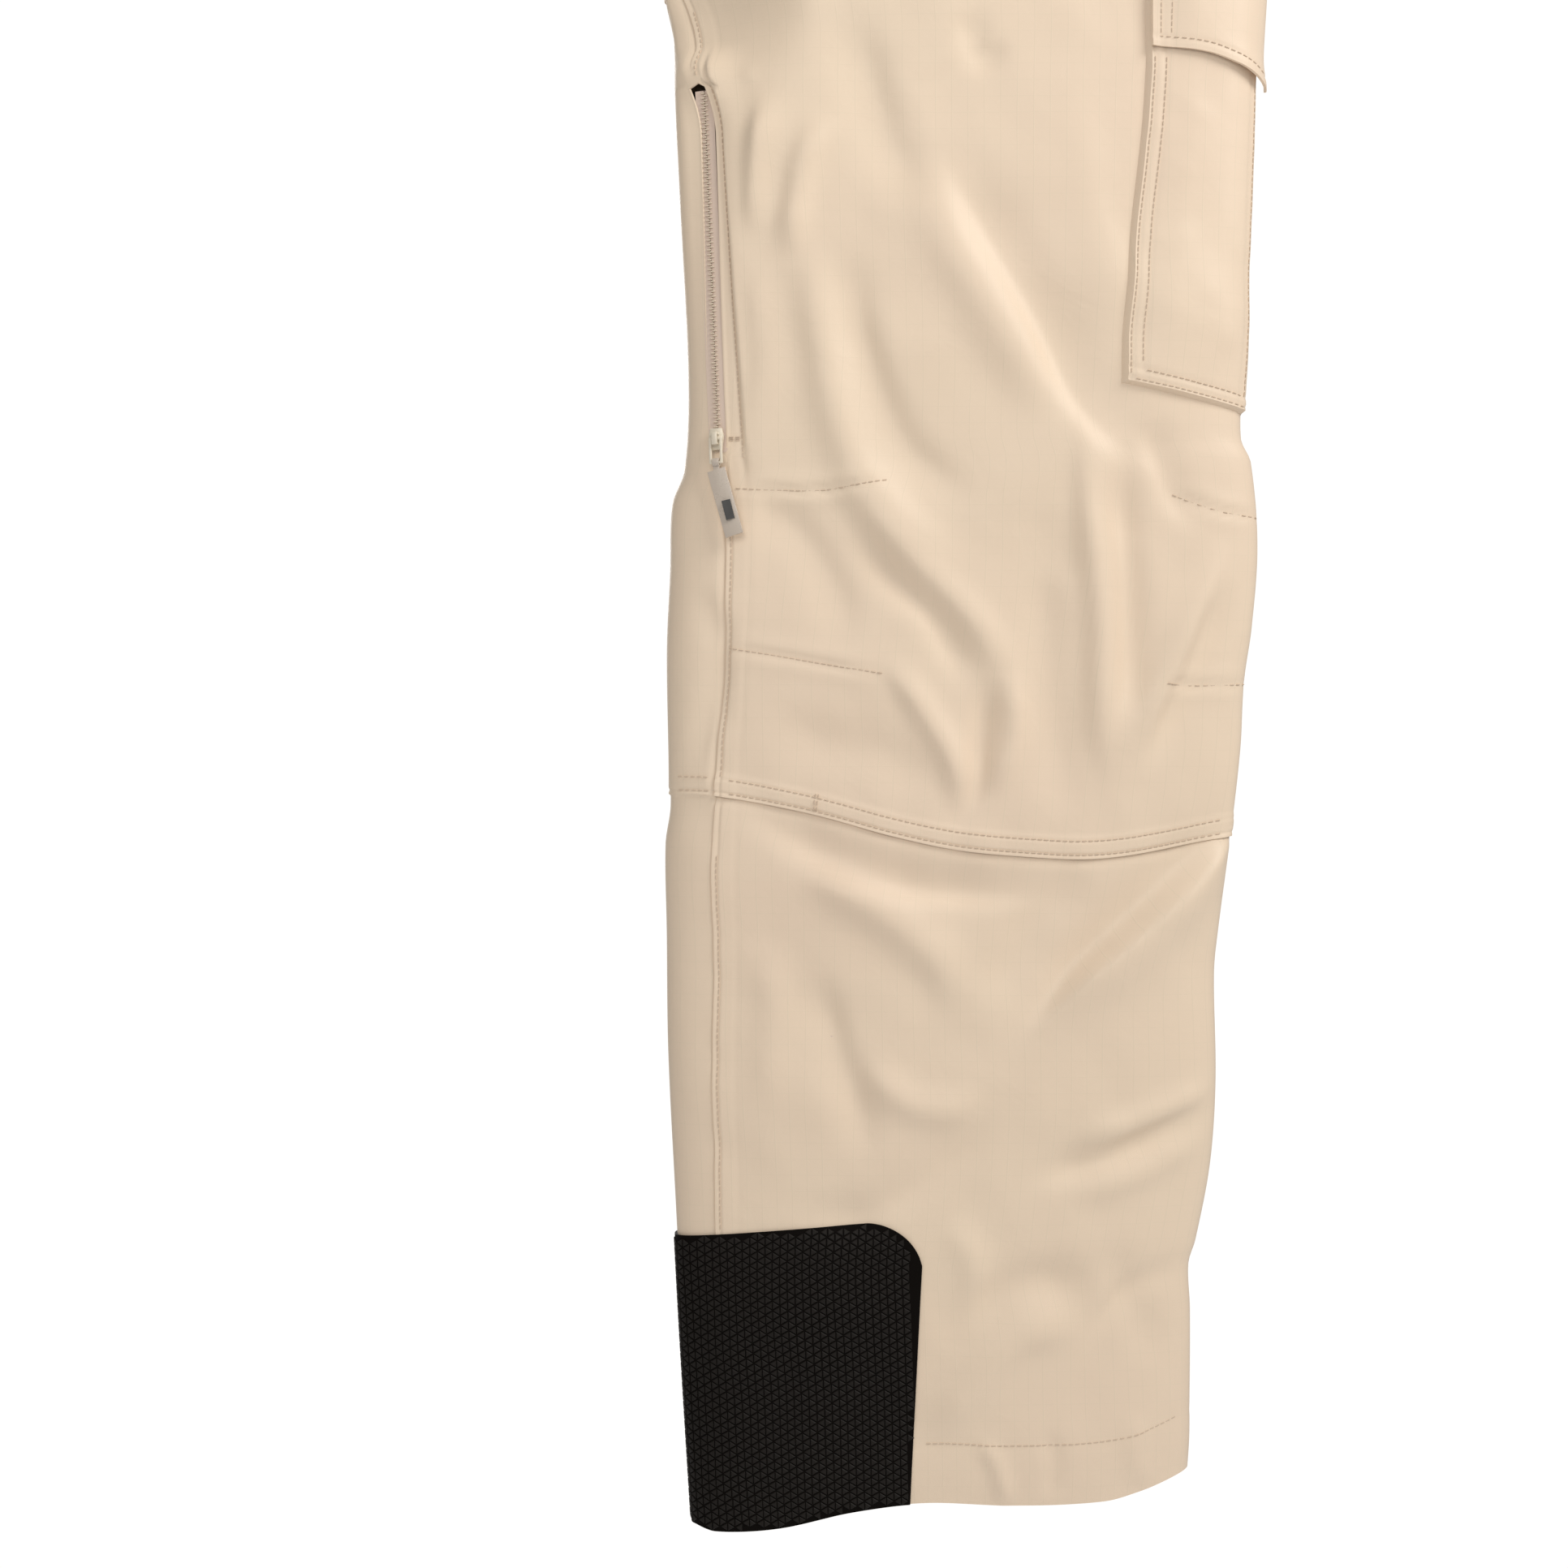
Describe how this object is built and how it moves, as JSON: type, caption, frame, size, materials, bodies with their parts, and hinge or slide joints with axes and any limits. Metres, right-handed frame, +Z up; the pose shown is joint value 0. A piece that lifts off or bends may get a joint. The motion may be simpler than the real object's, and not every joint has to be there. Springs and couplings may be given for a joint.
{
  "type": "ski pants",
  "caption": "Cream ripstop ski pants folded in half, with thigh vents, cargo pockets, snow gaiters and black scuff guards at the hems.",
  "frame": {"origin": "middle of the top of the folded waistband, on the plane between the two halves, where a hanger holds it", "axes": "+Z up along the legs towards the waist, -Y out of the front of the left leg, +X towards the outer edge of the folded pants"},
  "size_m": [0.3101, 0.1176, 1.065],
  "materials": {
    "shell": "coated ripstop, soft satin",
    "lining": "plain lining, matte",
    "scuff_guard": "embossed with small raised triangles",
    "zip_coil": "moulded coil",
    "zip_slider": "satin",
    "pull_cord": "corded",
    "tag": "translucent",
    "elastic": "matte",
    "hook": "brushed",
    "snap": "satin"
  },
  "bodies": {
    "left_half": {"left_thigh_front": "shell", "left_thigh_inner": "shell", "left_thigh_back": "shell", "left_shin_front": "shell", "left_shin_inner": "shell", "left_shin_back": "shell", "left_cuff_hem": "lining", "left_scuff_guard": "scuff_guard", "left_gaiter": "lining", "left_gaiter_elastic": "elastic", "left_boot_hook": "hook", "left_cargo_pocket": "shell", "left_cargo_snap": "snap", "left_vent_coil": "zip_coil", "left_hand_pocket_coil": "zip_coil", "left_waistband": "shell", "left_belt_loop_front": "shell", "left_belt_loop_side": "shell", "fly_coil": "zip_coil", "fly_shield": "lining", "waist_snap": "snap"},
    "right_half": {"right_thigh_front": "shell", "right_thigh_inner": "shell", "right_thigh_back": "shell", "right_shin_front": "shell", "right_shin_inner": "shell", "right_shin_back": "shell", "right_cuff_hem": "lining", "right_scuff_guard": "scuff_guard", "right_gaiter": "lining", "right_gaiter_elastic": "elastic", "right_boot_hook": "hook", "right_cargo_pocket": "shell", "right_cargo_snap": "snap", "right_vent_coil": "zip_coil", "right_hand_pocket_coil": "zip_coil", "right_waistband": "shell", "right_belt_loop_front": "shell", "right_belt_loop_side": "shell"},
    "left_cargo_flap_part": {"left_cargo_flap": "shell"},
    "left_vent_slider_part": {"left_vent_slider": "zip_slider"},
    "left_vent_pull_part": {"left_vent_pull": "pull_cord"},
    "left_vent_tag_part": {"left_vent_tag": "tag"},
    "left_hand_pocket_slider_part": {"left_hand_pocket_slider": "zip_slider"},
    "left_hand_pocket_pull_part": {"left_hand_pocket_pull": "pull_cord"},
    "left_waist_tab_part": {"left_waist_tab": "shell"},
    "right_cargo_flap_part": {"right_cargo_flap": "shell"},
    "right_vent_slider_part": {"right_vent_slider": "zip_slider"},
    "right_vent_pull_part": {"right_vent_pull": "pull_cord"},
    "right_vent_tag_part": {"right_vent_tag": "tag"},
    "right_hand_pocket_slider_part": {"right_hand_pocket_slider": "zip_slider"},
    "right_hand_pocket_pull_part": {"right_hand_pocket_pull": "pull_cord"},
    "right_waist_tab_part": {"right_waist_tab": "shell"},
    "fly_slider_part": {"fly_slider": "zip_slider"},
    "fly_pull_part": {"fly_pull": "pull_cord"}
  },
  "joints": [
    {"name": "half_fold", "type": "hinge", "parent": "left_half", "child": "right_half", "pos_m": [-0.12125, 0, -0.5], "axis": [0, 0, 1], "range_deg": [0, 175]},
    {"name": "left_vent_slide", "type": "slide", "parent": "left_half", "child": "left_vent_slider_part", "axis": [-0.0402, 0.0404, 0.9984], "range_m": [0, 0.1715]},
    {"name": "left_vent_pull_swing", "type": "hinge", "parent": "left_vent_slider_part", "child": "left_vent_pull_part", "pos_m": [-0.09136, -0.04588, -0.51493], "axis": [-0.9615, 0.2702, -0.0497], "range_deg": [0, 120]},
    {"name": "left_vent_tag_swing", "type": "hinge", "parent": "left_vent_pull_part", "child": "left_vent_tag_part", "pos_m": [-0.09088, -0.04636, -0.52691], "axis": [-0.9615, 0.2702, -0.0497], "range_deg": [0, 60]},
    {"name": "left_hand_pocket_slide", "type": "slide", "parent": "left_half", "child": "left_hand_pocket_slider_part", "axis": [-0.2352, 0.0707, 0.9694], "range_m": [0, 0.1314]},
    {"name": "left_hand_pocket_pull_swing", "type": "hinge", "parent": "left_hand_pocket_slider_part", "child": "left_hand_pocket_pull_part", "pos_m": [0.09445, -0.05015, -0.20226], "axis": [-0.9718, 0, -0.2358], "range_deg": [0, 120]},
    {"name": "left_flap_lift", "type": "hinge", "parent": "left_half", "child": "left_cargo_flap_part", "pos_m": [0.14732, -0.04411, -0.253], "axis": [-1, 0, 0], "range_deg": [0, 95]},
    {"name": "left_tab_slide", "type": "slide", "parent": "left_half", "child": "left_waist_tab_part", "axis": [-1, 0, 0], "range_m": [0, 0.025]},
    {"name": "right_vent_slide", "type": "slide", "parent": "right_half", "child": "right_vent_slider_part", "axis": [-0.0402, -0.0404, 0.9984], "range_m": [0, 0.1715]},
    {"name": "right_vent_pull_swing", "type": "hinge", "parent": "right_vent_slider_part", "child": "right_vent_pull_part", "pos_m": [-0.09136, 0.04588, -0.51493], "axis": [0.9615, 0.2702, 0.0497], "range_deg": [0, 120]},
    {"name": "right_vent_tag_swing", "type": "hinge", "parent": "right_vent_pull_part", "child": "right_vent_tag_part", "pos_m": [-0.09088, 0.04636, -0.52691], "axis": [0.9615, 0.2702, 0.0497], "range_deg": [0, 60]},
    {"name": "right_hand_pocket_slide", "type": "slide", "parent": "right_half", "child": "right_hand_pocket_slider_part", "axis": [-0.2352, -0.0707, 0.9694], "range_m": [0, 0.1314]},
    {"name": "right_hand_pocket_pull_swing", "type": "hinge", "parent": "right_hand_pocket_slider_part", "child": "right_hand_pocket_pull_part", "pos_m": [0.09445, 0.05015, -0.20226], "axis": [0.9718, 0, 0.2358], "range_deg": [0, 120]},
    {"name": "right_flap_lift", "type": "hinge", "parent": "right_half", "child": "right_cargo_flap_part", "pos_m": [0.14732, 0.04411, -0.253], "axis": [1, 0, 0], "range_deg": [0, 95]},
    {"name": "right_tab_slide", "type": "slide", "parent": "right_half", "child": "right_waist_tab_part", "axis": [-1, 0, 0], "range_m": [0, 0.025]},
    {"name": "fly_slide", "type": "slide", "parent": "left_half", "child": "fly_slider_part", "axis": [0.0001, 0.01, 0.9999], "range_m": [0, 0.152]},
    {"name": "fly_pull_swing", "type": "hinge", "parent": "fly_slider_part", "child": "fly_pull_part", "pos_m": [-0.10926, -0.01781, -0.21144], "axis": [-0.9342, 0.3567, -0.0035], "range_deg": [0, 120]}
  ]
}
